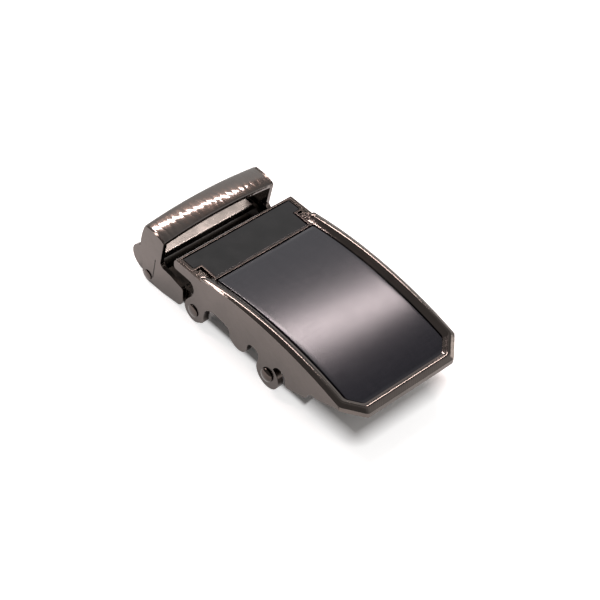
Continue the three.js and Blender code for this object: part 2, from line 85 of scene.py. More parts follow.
# ---------------------------------------------------------------- outlines
class Outline:
    """A side view in (x, z), drawn point by point from lines, arcs and curves."""

    def __init__(self, x, z):
        self.points = [(x, z)]

    def line(self, x, z):
        self.points.append((x, z))
        return self

    def curve(self, bend_x, bend_z, x, z, steps=10):
        x0, z0 = self.points[-1]
        for i in range(1, steps + 1):
            t = i / steps
            a, b, c = (1 - t) ** 2, 2 * t * (1 - t), t * t
            self.points.append((a * x0 + b * bend_x + c * x, a * z0 + b * bend_z + c * z))
        return self

    def arc(self, cx, cz, radius, start, end, steps=24):
        for i in range(steps + 1):
            angle = math.radians(start + (end - start) * i / steps)
            self.points.append((cx + radius * math.cos(angle), cz + radius * math.sin(angle)))
        return self

    def arch(self, x0, x1, rise, steps=40):
        for i in range(steps + 1):
            x = x0 + (x1 - x0) * i / steps
            self.points.append((x, arch_z(x, rise)))
        return self

    def clean(self, least=0.02):
        """The points without repeats, including one that closes the loop on itself."""
        kept = []
        for point in self.points:
            if not kept or math.dist(point, kept[-1]) > least:
                kept.append(point)
        if math.dist(kept[0], kept[-1]) <= least:
            kept.pop()
        return kept


# ---------------------------------------------------------------- mesh makers
def finish_mesh(name, mesh_builder, sharp_degrees=32.0, weighted=True):
    """Makes the object: doubles merged, normals outwards, smooth with its sharp edges kept."""
    bmesh.ops.remove_doubles(mesh_builder, verts=mesh_builder.verts, dist=1e-7)
    bmesh.ops.recalc_face_normals(mesh_builder, faces=mesh_builder.faces)
    mesh = bpy.data.meshes.new(name)
    mesh_builder.to_mesh(mesh)
    mesh_builder.free()
    for polygon in mesh.polygons:
        polygon.use_smooth = True
    mesh.set_sharp_from_angle(angle=math.radians(sharp_degrees))
    piece = bpy.data.objects.new(name, mesh)
    bpy.context.scene.collection.objects.link(piece)
    if weighted:
        normals = piece.modifiers.new("weighted_normals", "WEIGHTED_NORMAL")
        normals.keep_sharp = True
        normals.weight = 80
    return piece


def extrude(name, ends, bevel, segments, keep=None):
    """Two matching rings of (x, y, z) points joined into a solid, with the edges round both bevelled.

    keep(x, z) is true where an edge stays sharp because another piece continues the surface.
    """
    builder = bmesh.new()
    rings = [[builder.verts.new(place(*point)) for point in end] for end in ends]
    builder.faces.new(rings[0])
    builder.faces.new(list(reversed(rings[1])))
    edges = []
    count = len(rings[0])
    for i in range(count):
        j = (i + 1) % count
        builder.faces.new((rings[0][j], rings[0][i], rings[1][i], rings[1][j]))
    for ring, end in zip(rings, ends):
        for i in range(count):
            j = (i + 1) % count
            middle = ((end[i][0] + end[j][0]) / 2, (end[i][2] + end[j][2]) / 2)
            if keep is None or not keep(*middle):
                edges.append(builder.edges.get((ring[i], ring[j])))
    if bevel > 0:
        bmesh.ops.bevel(
            builder, geom=edges, offset=bevel * MM, segments=segments, profile=0.5,
            affect="EDGES", clamp_overlap=True,
        )
    return finish_mesh(name, builder)


def prism(name, points, y0, y1, bevel=0.3, segments=3, keep=None):
    """An (x, z) outline extruded along Y."""
    ends = [[(x, y, z) for x, z in points] for y in (y0, y1)]
    return extrude(name, ends, bevel, segments, keep)


def plate(name, points, z0, z1, bevel=0.2, segments=3):
    """An (x, y) outline extruded along Z."""
    ends = [[(x, y, z) for x, y in points] for z in (z0, z1)]
    return extrude(name, ends, bevel, segments)


def loft(name, rings, close_path=False, sharp_degrees=32.0, weighted=False):
    """A skin over closed rings of (x, y, z) points, capped at both ends unless the path closes."""
    builder = bmesh.new()
    made = [[builder.verts.new(place(*point)) for point in ring] for ring in rings]
    around = len(rings[0])
    last = len(made) if close_path else len(made) - 1
    for i in range(last):
        ring, following = made[i], made[(i + 1) % len(made)]
        for j in range(around):
            k = (j + 1) % around
            builder.faces.new((ring[j], ring[k], following[k], following[j]))
    if not close_path:
        builder.faces.new(list(reversed(made[0])))
        builder.faces.new(made[-1])
    return finish_mesh(name, builder, sharp_degrees, weighted)


def lathe(name, profile, axis, side=1, turns=64):
    """A (radius, y) profile turned round a line along Y. side -1 mirrors it to the near side."""
    rings = []
    for radius, y in profile:
        ring = []
        for i in range(turns):
            angle = 2 * math.pi * i / turns
            x = axis["x"] + radius * math.cos(angle)
            z = axis["z"] + radius * math.sin(angle)
            ring.append((x, side * y, z))
        rings.append(ring)
    return loft(name, rings, sharp_degrees=40.0)


def hub_round(name, axis, radius, inner, half, chamfer=0.15):
    """A hub round a pin, with chamfered ends; its middle is closed, because the pin runs there."""
    end = [(radius, half - chamfer), (radius - chamfer, half), (inner, half)]
    start = [(r, -y) for r, y in reversed(end)]
    return lathe(name, start + end, axis)


def tube(name, route, radius, sides=14):
    """A round wire along a route of (x, y, z) points."""
    route = [Vector(p) for p in route]
    rings = []
    lean = Vector((0.3, 1.0, 0.2)).normalized()
    for i, point in enumerate(route):
        before = route[max(i - 1, 0)]
        after = route[min(i + 1, len(route) - 1)]
        ahead = (after - before).normalized()
        lean = (lean - ahead * lean.dot(ahead)).normalized()
        across = ahead.cross(lean)
        ring = []
        for k in range(sides):
            angle = 2 * math.pi * k / sides
            ring.append(tuple(point + (lean * math.cos(angle) + across * math.sin(angle)) * radius))
        rings.append(ring)
    return loft(name, rings, sharp_degrees=50.0)


def join(name, *pieces):
    """One object from several closed pieces."""
    for other in bpy.context.selected_objects:
        other.select_set(False)
    for one in pieces:
        one.select_set(True)
    bpy.context.view_layer.objects.active = pieces[0]
    bpy.ops.object.join()
    pieces[0].name = name
    pieces[0].data.name = name
    return pieces[0]


def install(piece, body, slot, material, *nodes):
    """Gives a piece its material, ties it to its body and hides the nodes it stands for; slot is not used."""
    if body in ("clamp", "clip"):
        piece.data.transform(Matrix.Translation((0.0, CLAMP_SIDE_SHIFT * MM, 0.0)))
    piece.data.materials.clear()
    piece.data.materials.append(material)
    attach(piece, body)
    if nodes:
        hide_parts(*nodes)
    return piece


# ---------------------------------------------------------------- materials
class Nodes:
    """A small helper that adds and wires shader nodes."""

    def __init__(self, name):
        self.material = bpy.data.materials.new(name)
        self.material.use_nodes = True
        self.tree = self.material.node_tree
        self.shader = self.tree.nodes["Principled BSDF"]
        self.place = self.add("ShaderNodeTexCoord").outputs["Object"]

    def add(self, kind, **inputs):
        node = self.tree.nodes.new(kind)
        for key, value in inputs.items():
            node.inputs[key.replace("_", " ")].default_value = value
        return node

    def link(self, source, target):
        self.tree.links.new(source, target)

    def feed(self, socket, source):
        """Wires a source into one of the shader's sockets."""
        self.link(source, self.shader.inputs[socket])

    def set(self, socket, value):
        """Sets one of the shader's own sockets."""
        self.shader.inputs[socket].default_value = value

    def scaled(self, x, y, z):
        mapping = self.add("ShaderNodeMapping")
        mapping.inputs["Scale"].default_value = (x, y, z)
        self.link(self.place, mapping.inputs["Vector"])
        return mapping.outputs["Vector"]

    def noise(self, vector, scale, detail=4.0, roughness=0.55):
        node = self.add("ShaderNodeTexNoise", Scale=scale, Detail=detail, Roughness=roughness)
        self.link(vector, node.inputs["Vector"])
        return node.outputs["Fac"]

    def ramp(self, value, stops):
        node = self.add("ShaderNodeValToRGB")
        elements = node.color_ramp.elements
        while len(elements) < len(stops):
            elements.new(0.5)
        for element, (position, colour) in zip(elements, stops):
            element.position = position
            element.color = (*colour, 1.0)
        self.link(value, node.inputs["Fac"])
        return node.outputs["Color"]

    def span(self, value, low, high, out_low, out_high):
        node = self.add("ShaderNodeMapRange")
        for key, number in (("From Min", low), ("From Max", high), ("To Min", out_low), ("To Max", out_high)):
            node.inputs[key].default_value = number
        self.link(value, node.inputs["Value"])
        return node.outputs["Result"]

    def scallops(self, direction, pitch):
        """The height, from 0 to 1, of slightly uneven scallops that follow one another in a direction."""
        along = self.add("ShaderNodeVectorMath")
        along.operation = "DOT_PRODUCT"
        along.inputs[1].default_value = direction
        self.link(self.place, along.inputs[0])
        phase = self.add("ShaderNodeMath")
        phase.operation = "MULTIPLY_ADD"
        phase.inputs[1].default_value = math.pi / pitch
        self.link(along.outputs["Value"], phase.inputs[0])
        self.link(self.span(self.noise(self.place, 260.0, 2.0), 0.0, 1.0, 0.0, 5.0), phase.inputs[2])
        height = phase.outputs["Value"]
        for operation in ("SINE", "ABSOLUTE"):
            step = self.add("ShaderNodeMath")
            step.operation = operation
            self.link(height, step.inputs[0])
            height = step.outputs["Value"]
        return height

    def bump(self, height, strength, distance, under=None):
        node = self.add("ShaderNodeBump", Strength=strength, Distance=distance)
        self.link(height, node.inputs["Height"])
        if under is not None:
            self.link(under, node.inputs["Normal"])
        return node.outputs["Normal"]


def plated_metal(
    name, dark, light, rough_low, rough_high, ripple=0.05, ripple_scale=420.0, scallops=None, glaze=None,
):
    """Metal plating with a faint cloudy tone, fine pores and a soft ripple.

    scallops, where given, is the direction, pitch and depth of the shallow facets that belt polishing
    leaves, and glaze is the roughness of a clear coat over the plating.
    """
    nodes = Nodes(name)
    cloud = nodes.noise(nodes.place, 160.0, 5.0, 0.6)
    fine = nodes.noise(nodes.place, 2600.0, 3.0, 0.6)
    ripples = nodes.noise(nodes.place, ripple_scale, 2.0, 0.5)
    nodes.feed("Base Color", nodes.ramp(cloud, ((0.3, dark), (0.72, light))))
    nodes.feed("Roughness", nodes.span(cloud, 0.3, 0.7, rough_low, rough_high))
    nodes.set("Metallic", 1.0)
    soft = nodes.bump(ripples, ripple, 0.0004)
    if scallops is not None:
        direction, pitch, depth = scallops
        soft = nodes.bump(nodes.scallops(direction, pitch), 1.0, depth, soft)
    surface = nodes.bump(fine, 0.05, 0.00004, soft)
    nodes.feed("Normal", surface)
    if glaze is not None:
        nodes.feed("Coat Normal", surface)
        nodes.set("Coat Weight", 1.0)
        nodes.set("Coat IOR", 1.8)
        nodes.set("Coat Roughness", glaze)
    return nodes.material


def brushed_sheet(name):
    """Dark lacquered sheet with fine lines along the buckle and a faint cross weave."""
    nodes = Nodes(name)
    along = nodes.noise(nodes.scaled(60.0, 1800.0, 60.0), 3.0, 3.0, 0.6)
    across = nodes.noise(nodes.scaled(1800.0, 90.0, 1800.0), 2.5, 2.0, 0.6)
    lines = nodes.add("ShaderNodeMath")
    lines.operation = "ADD"
    nodes.link(along, lines.inputs[0])
    nodes.link(across, lines.inputs[1])
    texture = lines.outputs["Value"]
    tones = ((0.0, (0.005, 0.005, 0.009)), (1.0, (0.009, 0.009, 0.014)))
    colour = nodes.ramp(nodes.span(texture, 0.7, 1.3, 0.0, 1.0), tones)
    nodes.feed("Base Color", colour)
    nodes.feed("Roughness", nodes.span(texture, 0.7, 1.3, 0.20, 0.25))
    nodes.set("Metallic", 0.0)
    nodes.set("IOR", 1.5)
    nodes.set("Specular Tint", (0.94, 0.95, 1.0, 1.0))
    nodes.feed("Normal", nodes.bump(texture, 0.06, 0.00002))
    return nodes.material


def lacquered_sheet(name):
    """Smooth near-black lacquer with a slight unevenness."""
    nodes = Nodes(name)
    cloud = nodes.noise(nodes.place, 220.0, 4.0, 0.6)
    tones = ((0.3, (0.004, 0.004, 0.0045)), (0.7, (0.007, 0.007, 0.008)))
    nodes.feed("Base Color", nodes.ramp(cloud, tones))
    nodes.feed("Roughness", nodes.span(cloud, 0.3, 0.7, 0.07, 0.12))
    nodes.set("IOR", 1.45)
    pores = nodes.noise(nodes.place, 1800.0, 2.0)
    nodes.feed("Normal", nodes.bump(pores, 0.05, 0.00002))
    return nodes.material


def adhesive(name):
    """Matt, fibrous double-sided sheet."""
    nodes = Nodes(name)
    fibres = nodes.noise(nodes.place, 900.0, 6.0, 0.7)
    tones = ((0.3, (0.55, 0.5, 0.42)), (0.7, (0.7, 0.66, 0.58)))
    nodes.feed("Base Color", nodes.ramp(fibres, tones))
    nodes.feed("Roughness", nodes.span(fibres, 0.3, 0.7, 0.6, 0.8))
    return nodes.material


# Near-black steel, given to the strap clip, and used as painted shade on the cheeks' arm tops, inside the
# channel and in the cheeks' seams.
SHADE_BLACK_STEEL = plated_metal("near_black_steel_and_painted_shade", (0.016, 0.014, 0.012), (0.024, 0.021, 0.018), 0.5, 0.62)
GUNMETAL = plated_metal("gunmetal_plating", (0.072, 0.060, 0.054), (0.087, 0.072, 0.065), 0.12, 0.20)
BAR_METAL = plated_metal(
    "polished_bar", (0.052, 0.038, 0.031), (0.064, 0.048, 0.040), 0.20, 0.26,
    ripple=0.08, scallops=((0, 1, 0), 0.0021, 0.00002), glaze=0.07,
)
GRAIN = plated_metal(
    "cast_grain", (0.035, 0.030, 0.027), (0.20, 0.17, 0.15), 0.2, 0.3,
    ripple=1.0, ripple_scale=1500.0,
)
POLISHED = plated_metal(
    "polished_ridge", (0.102, 0.089, 0.081), (0.124, 0.107, 0.098), 0.09, 0.15,
    ripple=0.08, ripple_scale=900.0, scallops=((1, 1, 0), 0.0007, 0.000008),
)
STEEL = plated_metal("plated_steel", (0.20, 0.185, 0.17), (0.26, 0.24, 0.22), 0.2, 0.32)
SPRING = plated_metal("spring_wire", (0.34, 0.33, 0.31), (0.42, 0.40, 0.38), 0.18, 0.3)
BRUSHED = brushed_sheet("brushed_lacquer")
LACQUER = lacquered_sheet("black_lacquer")
TAPE = adhesive("adhesive_sheet")


# ---------------------------------------------------------------- the face's rim
RIM_STEPS = (70, 10, 36, 10, 70)  # along the near side, corner, tip, corner and far side
RIDGE = {"inset": 1.34, "top": 0.27, "radius": 1.1, "lean": 29.0, "shift": 0.5}
SLOPE_TOP = 0.13  # where the outer slope meets the ridge, above the datum surface
SLOPE_START = -20.0  # the outer slope grows from here towards the tip
SLOPE_LENGTH = 50.0
SLOPE_LEAST = 0.08  # the share of the slope that is left at the tail


def rim_path(inset, start=TAIL_ZONE_END, round_off=0.8):
    """The rim's route in plan at a distance in from the outline: near side, tip, far side."""
    side = HALF - inset
    tip = TIP_X - inset
    corner = TIP_CORNER - inset * math.sqrt(2)
    knots = [(start, -side), (corner - side, -side), (tip, tip - corner)]
    knots += [(x, -y) for x, y in reversed(knots)]
    route = []
    for i, count in enumerate(RIM_STEPS):
        begin, end = Vector(knots[i]), Vector(knots[i + 1])
        length = (end - begin).length
        trim_start = round_off / length if i > 0 else 0.0
        trim_end = round_off / length if i < len(RIM_STEPS) - 1 else 0.0
        for k in range(count + 1):
            t = trim_start + (1 - trim_start - trim_end) * k / count
            route.append(begin.lerp(end, t))
        if i < len(RIM_STEPS) - 1:
            following = Vector(knots[i + 2])
            leave = end.lerp(begin, round_off / length)
            enter = end.lerp(following, round_off / (following - end).length)
            for k in range(1, 5):
                t = k / 5
                route.append(leave * (1 - t) ** 2 + end * (2 * t * (1 - t)) + enter * t * t)
    return route


def rim_section():
    """The rim's section as insets and rises: outer slope, rounded ridge, inner slope and lip."""
    ridge = []
    steps = 6
    for k in range(-steps, steps + 1):
        lean = math.radians(RIDGE["lean"] * k / steps)
        drop = RIDGE["radius"] * (1 - math.cos(lean))
        ridge.append((RIDGE["inset"] + RIDGE["radius"] * math.sin(lean), RIDGE["top"] - drop))
    outside = [(0.01, -1.62), (0.01, -0.40), (0.03, -0.33), (0.10, -0.27)]
    inside = [
        (2.46, -0.60), (2.98, -0.80), (3.06, -0.85), (3.10, -0.93), (3.10, -2.1), (3.9, -2.1), (3.9, -3.4),
        (2.9, -3.4), (0.5, -1.78), (0.12, -1.74),
    ]
    return outside, ridge, inside


def slope_share(x):
    """How much of the outer slope is there: little of it at the tail, all of it towards the tip."""
    t = min(1.0, max(0.0, (x - SLOPE_START) / SLOPE_LENGTH))
    return SLOPE_LEAST + (1 - SLOPE_LEAST) * t * (2 - t)


def build_rim():
    """The rim, run round the face in one moulding; its ridge starts near the outer edge."""
    outside, ridge, inside = rim_section()
    rings = []
    plain = [rim_path(inset) for inset, _ in outside + ridge + inside]
    pushed = [rim_path(inset - RIDGE["shift"]) for inset, _ in ridge]
    for i in range(len(plain[0])):
        ring = []
        share = slope_share(plain[0][i][0])
        for k, (_, rise) in enumerate(outside + ridge + inside):
            spot = plain[k][i]
            if 0 < k < len(outside):
                rise = SLOPE_TOP + (rise - SLOPE_TOP) * share
            elif len(outside) <= k < len(outside) + len(ridge):
                spot = pushed[k - len(outside)][i].lerp(spot, share)
            ring.append((spot.x, spot.y, arch_z(spot.x, rise)))
        rings.append(ring)
    return loft("face_rim", rings, sharp_degrees=24.0, weighted=True)


def build_ridge_ends():
    """The ridge's two ends: low domed pads above the flat tail zone."""
    centre_x, centre_y = TAIL_ZONE_END - 0.1, HALF - 0.95
    crown_radius, reach, steps, turns = 2.6, 0.82, 8, 28
    top = arch_z(TAIL_ZONE_END + 0.5, RIDGE["top"]) + 0.04
    dome = [reach * k / steps for k in range(1, steps + 1)]
    levels = [(0.02, 0.0)] + [(radius, radius ** 2 / (2 * crown_radius)) for radius in dome]
    levels += [(reach + 0.05, 0.22), (reach + 0.06, 1.6)]
    ends = []
    for side in (-1, 1):
        rings = []
        for radius, drop in reversed(levels):
            ring = []
            for k in range(turns):
                angle = 2 * math.pi * k / turns
                x = centre_x + radius * math.cos(angle)
                y = side * centre_y + radius * math.sin(angle)
                ring.append((x, y, top - drop))
            rings.append(ring)
        ends.append(loft(f"ridge_end_{side}", rings, sharp_degrees=50.0))
    return join("ridge_ends", *ends)


def build_web():
    """The arched top under the main panel."""
    start, end, steps = TAIL_ZONE_END + 0.2, 35.6, 60
    widest = 17.2
    rings = []
    for i in range(steps + 1):
        x = start + (end - start) * i / steps
        half = min(widest, MAIN_PANEL["corner"] + 0.6 - x)
        top, bottom = arch_z(x, -2.15), arch_z(x, -3.5)
        rings.append([(x, -half, bottom), (x, half, bottom), (x, half, top), (x, -half, top)])
    return loft("face_web", rings, weighted=True)


def wall_outline():
    """The side wall's outline, with its pin ears, lobe and notches."""
    shape = Outline(-31.75, 15.6)
    shape.curve(-31.75, 17.1, -30.8, 17.52, 8).line(TAIL_ZONE_END, 17.52)
    shape.arch(TAIL_ZONE_END + 0.05, 33.25, -0.47, 60)
    shape.line(33.25, 13.9)
    shape.curve(31.0, 13.3, 26.6, 11.5).curve(25.2, 10.9, 24.0, 10.9).curve(22.3, 10.9, 21.6, 8.9, 8)
    shape.curve(21.4, 8.1, 20.6, 7.9, 6).line(17.3, 6.75).line(14.2, 5.75).curve(13.4, 5.6, 13.4, 6.4, 6)
    shape.line(13.4, 7.2).curve(13.1, 10.1, 10.9, 10.1, 12).curve(9.3, 10.1, 8.55, 8.12, 10)
    shape.arc(6.4, 4.4, 4.3, 60, -210, 60)
    shape.curve(2.9, 7.6, 2.75, 8.3, 5).curve(2.4, 10.0, 1.0, 10.0, 8)
    shape.line(-0.1, 10.0).curve(-1.5, 9.8, -1.72, 8.0, 8)
    shape.arc(-5.3, 8.0, 3.6, 0, -180, 36)
    shape.curve(-9.2, 9.3, -11.6, 9.5, 8).line(-15.2, 9.8).curve(-19.3, 9.4, -19.5, 5.0, 14)
    shape.line(-19.5, 3.6).curve(-19.6, 2.5, -21.3, 1.65, 8)
    shape.arc(-23.9, 4.2, 3.6, -45, -180, 36)
    shape.line(-26.9, 6.0).curve(-26.0, 7.3, -24.9, 8.6, 6).curve(-22.9, 11.0, -23.8, 13.1, 10)
    shape.curve(-24.4, TAIL_BOTTOM, -25.6, TAIL_BOTTOM, 8).line(-30.8, TAIL_BOTTOM)
    shape.curve(-31.75, TAIL_BOTTOM, -31.75, 15.3, 8)
    return shape.clean()


def build_walls():
    """Both side walls; their top edges stay sharp where the rim carries on."""
    def under_rim(x, z):
        return x > TAIL_ZONE_END and z > arch_z(x, -0.9)

    outline = wall_outline()
    bevel = 0.32
    near = prism("wall_near", outline, -HALF, -WALL_INNER, bevel, 3, under_rim)
    far = prism("wall_far", outline, WALL_INNER, HALF, bevel, 3, under_rim)
    return join("face_walls", near, far)


def tail_path(grow, lean=0.2):
    """The tail panel's outline in plan, grown outwards; its narrow part leans to the far side."""
    start, shoulder, end = TAIL_PANEL["start"], TAIL_PANEL["shoulder"], TAIL_PANEL["end"]
    wide, narrow = TAIL_PANEL["wide"], TAIL_PANEL["narrow"]
    half = [
        (start - grow, wide + grow), (shoulder + grow, wide + grow),
        (shoulder + grow, narrow + grow), (end + grow, narrow + grow),
    ]
    near = [(x, -y + (lean if y < wide else 0.0)) for x, y in reversed(half)]
    far = [(x, y + (lean if y < wide else 0.0)) for x, y in half]
    return far + near


def build_tail_deck():
    """The flat tail: a rounded slab with a thin raised rib round the tail panel."""
    shape = Outline(TAIL_X, 15.6)
    shape.curve(TAIL_X, 17.0, -31.0, 17.3, 10).line(-30.4, 17.3).line(-30.4, 16.2)
    shape.line(-18.0, 16.2).line(-18.0, TAIL_BOTTOM + 0.2).line(-22.0, TAIL_BOTTOM).line(-31.0, TAIL_BOTTOM)
    shape.curve(TAIL_X, TAIL_BOTTOM, TAIL_X, 15.2, 10)
    slab_half = 19.6
    slab = prism("tail_slab", shape.clean(), -slab_half, slab_half, 0.25, 3)
    rib_section = [
        (0.06, 16.0), (0.06, 17.6), (0.09, 17.67), (0.15, 17.7),
        (0.58, 17.7), (0.64, 17.67), (0.68, 17.6), (0.68, 16.0),
    ]
    loops = [tail_path(grow) for grow, _ in rib_section]
    rings = []
    for i in range(len(loops[0])):
        rings.append([(*loop[i], z) for loop, (_, z) in zip(loops, rib_section)])
    rib = loft("tail_rib", rings, close_path=True, weighted=True)
    return join("tail_deck", slab, rib)


def build_divider():
    """The bar between the two panels, following the arch's crown."""
    section = [
        (-19.1, 15.6), (-19.1, 17.8), (-19.07, 17.87), (-19.0, 17.9),
        (-18.44, 18.0), (-18.37, 17.98), (-18.34, 17.9), (-18.34, 15.6),
    ]
    rings = [[(x, y, z) for x, z in section] for y in (-17.15, -8.0, 8.0, 17.15)]
    return loft("panel_divider", rings, weighted=True)


def build_grain_patches():
    """Two small cast patches with a raised grain, between the tail panel and the ridge ends."""
    rng = np.random.default_rng(7)
    columns, rows, grains = 44, 26, 70
    x0, x1 = -24.25, -20.2
    y0, y1 = 17.15, 19.75
    bottom, level, edge_rise, grain_rise = 15.5, 17.38, 0.12, 0.16
    patches = []
    for side in (-1, 1):
        bumps = [(rng.uniform(x0, x1), rng.uniform(y0, y1), rng.uniform(0.16, 0.3)) for _ in range(grains)]
        builder = bmesh.new()
        top, base = [], []
        for i in range(columns + 1):
            x = x0 + (x1 - x0) * i / columns
            top_row, base_row = [], []
            for k in range(rows + 1):
                y = y0 + (y1 - y0) * k / rows
                edge = min(i, columns - i, k, rows - k) / 3
                z = level + edge_rise * min(1.0, edge)
                for bx, by, radius in bumps:
                    gap = math.hypot(x - bx, y - by) / radius
                    if gap < 1 and edge > 0:
                        z += grain_rise * (1 - gap * gap) * min(1.0, edge)
                top_row.append(builder.verts.new(place(x, side * y, z)))
                base_row.append(builder.verts.new(place(x, side * y, bottom)))
            top.append(top_row)
            base.append(base_row)
        for i in range(columns):
            for k in range(rows):
                builder.faces.new((top[i][k], top[i + 1][k], top[i + 1][k + 1], top[i][k + 1]))
                builder.faces.new((base[i][k], base[i][k + 1], base[i + 1][k + 1], base[i + 1][k]))
        for i in range(columns):
            builder.faces.new((top[i][0], base[i][0], base[i + 1][0], top[i + 1][0]))
            builder.faces.new((top[i + 1][rows], base[i + 1][rows], base[i][rows], top[i][rows]))
        for k in range(rows):
            builder.faces.new((top[0][k + 1], base[0][k + 1], base[0][k], top[0][k]))
            builder.faces.new((top[columns][k], base[columns][k], base[columns][k + 1], top[columns][k + 1]))
        patches.append(finish_mesh(f"grain_{side}", builder, 60.0, False))
    return join("grain_patches", *patches)


# ---------------------------------------------------------------- panels
def build_main_panel():
    """The arched inlay, with softly turned-down edges."""
    shrink = [(0.0, -1.75), (0.0, -1.0), (0.03, -0.88), (0.12, -0.82), (0.3, -0.8)]
    rings = []
    steps = 72
    x_start, x_end = MAIN_PANEL["start"], MAIN_PANEL["end"]
    for i in range(steps + 1):
        t = {1: 0.003, steps - 1: 0.997}.get(i, i / steps)  # the second and last but one lie close in
        x = x_start + (x_end - x_start) * t
        end_drop = 0.14 if i in (0, steps) else 0.0
        half = min(MAIN_PANEL["half"] + 0.12, MAIN_PANEL["corner"] + 0.1 - x)
        right = [(x, half - inset, arch_z(x, rise - end_drop)) for inset, rise in shrink]
        across = [(x, half * (1 - 2 * k / 24), arch_z(x, -0.8 - end_drop)) for k in range(1, 24)]
        left = [(x, -half + inset, arch_z(x, rise - end_drop)) for inset, rise in reversed(shrink)]
        rings.append(right + across + left)
    return loft("main_inlay", rings, sharp_degrees=50.0)


def build_tail_panel():
    """The flat stepped inlay, a little smaller than its pocket."""
    return plate("tail_inlay", tail_path(-0.2, 0.05), TAIL_TOP - 1.0, TAIL_TOP - 0.08, 0.1, 2)


# ---------------------------------------------------------------- pins and springs
def build_pin(name, axis, shank, head, reach, proud):
    """A cross pin whose ends are peened into domed heads."""
    base = reach + 0.1
    heads = [(shank * 0.99, base - 0.05), (head * 0.9, base - 0.02), (head, base + 0.06)]
    for k in range(11):
        t = k / 10
        heads.append((head * math.cos(t * 1.45) + 0.002, base + 0.12 + (proud - 0.12) * math.sin(t * 1.45)))
    heads.append((head * 0.06, base + proud))
    profile = [(r, -y) for r, y in reversed(heads)] + heads
    return lathe(name, profile, axis)


PAWL_TIP = {"x": -3.6, "z": 14.1}
PAWL_ANGLE = math.atan2(PAWL_TIP["z"] - PAWL_AXIS["z"], PAWL_TIP["x"] - PAWL_AXIS["x"])
PAWL_REACH = math.hypot(PAWL_TIP["z"] - PAWL_AXIS["z"], PAWL_TIP["x"] - PAWL_AXIS["x"])


def pawl_point(along, across):
    """A point (x, z) of the pawl's sheet, along it from the pin and across its thickness."""
    c, s = math.cos(PAWL_ANGLE), math.sin(PAWL_ANGLE)
    return (PAWL_AXIS["x"] + along * c - across * s, PAWL_AXIS["z"] + along * s + across * c)


COIL = {"radius": 1.95, "wire": 0.35, "pitch": 0.85, "turns": 4, "start": 13.8}
LIFT_LEG = {"angle": PAWL_ANGLE - 0.09, "length": 6.2}  # behind the pawl
REST_LEG = {"angle": 3.49, "length": 4.2}  # over the ear's boss


def build_spring(side):
    """A torsion spring in two pieces: the coil with its resting leg, and the leg that lifts the pawl."""
    first = LIFT_LEG["angle"] + math.pi / 2
    last = REST_LEG["angle"] - math.pi / 2 + 2 * math.pi * COIL["turns"]
    length = COIL["pitch"] * COIL["turns"]

    def on_coil(t):
        angle = first + (last - first) * t
        x = PAWL_AXIS["x"] + COIL["radius"] * math.cos(angle)
        z = PAWL_AXIS["z"] + COIL["radius"] * math.sin(angle)
        return Vector((x, side * (COIL["start"] + length * t), z))

    def along(leg, share):
        return Vector((math.cos(leg["angle"]), 0, math.sin(leg["angle"]))) * (leg["length"] * share)

    side_name = "far" if side > 0 else "near"
    lift = [on_coil(0) + along(LIFT_LEG, k / 12) for k in range(12, -1, -1)]
    route = [on_coil(k / 200) for k in range(201)]
    route += [on_coil(1) + along(REST_LEG, k / 8) for k in range(1, 9)]
    coil = tube("torsion_spring_" + side_name, route, COIL["wire"])
    return coil, tube("spring_leg_" + side_name, lift, COIL["wire"])


def build_spring_boss():
    """A small boss inside each ear, under the spring's resting leg."""
    bosses = []
    for side in (-1, 1):
        profile = [(0.6, 18.5), (0.6, 17.0), (0.55, 16.88), (0.45, 16.8), (0.02, 16.8)]
        bosses.append(lathe(f"boss_{side}", profile, {"x": 3.18, "z": 4.35}, side, 28))
    return join("spring_bosses", *bosses)


# ---------------------------------------------------------------- pawl and lever
def pawl_blade(start, reach):
    """The pawl's sheet in side view, from near the pin to its sharpened edge."""
    half_sheet = 0.8
    shoulder = PAWL_REACH - 1.6
    return [
        pawl_point(start, half_sheet), pawl_point(start, -half_sheet), pawl_point(shoulder, -half_sheet),
        pawl_point(reach, 0.0), pawl_point(shoulder, half_sheet),
    ]


def build_pawl():
    """The sprung sheet: a hub on the pin, an arm with a toothed edge and a flange for the lever."""
    hub_half, edge_half, tooth_count, tooth_gap = 13.3, 16.6, 6, 1.6
    hub = hub_round("pawl_hub", PAWL_AXIS, 2.6, 1.4, hub_half)
    arm = prism("pawl_arm", pawl_blade(1.0, PAWL_REACH), -hub_half, hub_half, 0.15, 2)
    tooth_shape = pawl_blade(3.6, PAWL_REACH + 0.02)
    teeth = []
    pitch = 2 * edge_half / tooth_count
    for i in range(tooth_count):
        low = -edge_half + i * pitch + (tooth_gap / 2 if i > 0 else 0.0)
        high = -edge_half + (i + 1) * pitch - (tooth_gap / 2 if i < tooth_count - 1 else 0.0)
        teeth.append(prism(f"pawl_tooth_{i}", tooth_shape, low, high, 0.12, 2))
    stem_end = PAWL_REACH - 1.4
    stem_shape = tooth_shape[:2] + [pawl_point(stem_end, -0.7), pawl_point(stem_end, 0.7)]
    stem = prism("pawl_stem", stem_shape, -edge_half + 0.1, edge_half - 0.1, 0.1, 2)
    flange_shape = Outline(7.0, 3.9).line(10.2, 3.9).curve(10.6, 3.9, 10.6, 4.3, 4)
    flange_shape.line(10.6, 5.7).curve(10.6, 6.1, 10.2, 6.1, 4).line(7.0, 6.1)
    flange = prism("pawl_flange", flange_shape.clean(), -hub_half, hub_half, 0.2, 2)
    return join("pawl_body", hub, arm, stem, flange, *teeth)


